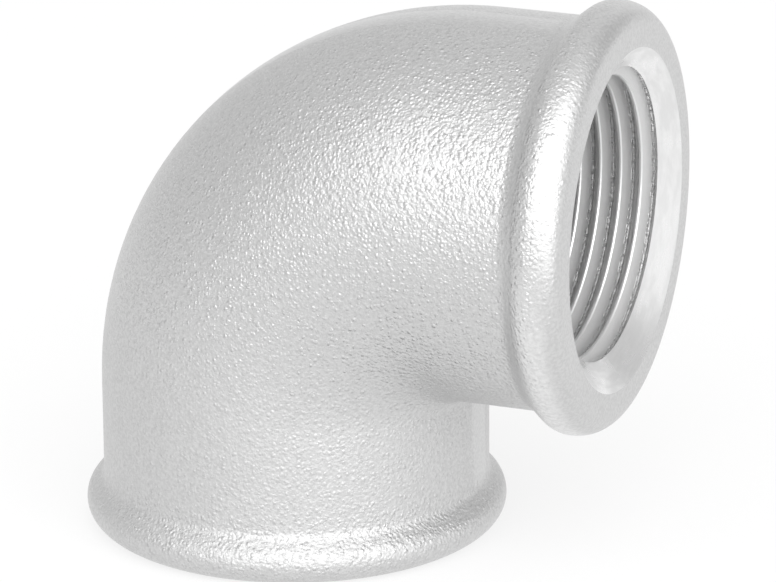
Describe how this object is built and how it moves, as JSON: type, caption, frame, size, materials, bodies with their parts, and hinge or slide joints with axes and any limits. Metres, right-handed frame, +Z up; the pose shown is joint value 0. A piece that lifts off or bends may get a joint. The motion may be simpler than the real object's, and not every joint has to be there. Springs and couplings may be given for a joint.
{
  "type": "galvanised pipe elbow",
  "caption": "Galvanised cast iron 90 degree pipe elbow with an internal thread in each mouth and a rounded bead round each, standing on its lower mouth.",
  "frame": {"origin": "on the surface the elbow stands on, under the middle of its overall box", "axes": "+Z up along the lower arm's axis, away from the lower mouth; +X the way the side mouth looks; the mirror plane is Y = 0"},
  "size_m": [0.061, 0.0464, 0.0612],
  "materials": {
    "galvanised_iron": "hot-dip zinc over cast iron, soft sheen"
  },
  "bodies": {
    "root": {"elbow_body": "galvanised_iron"}
  },
  "joints": []
}
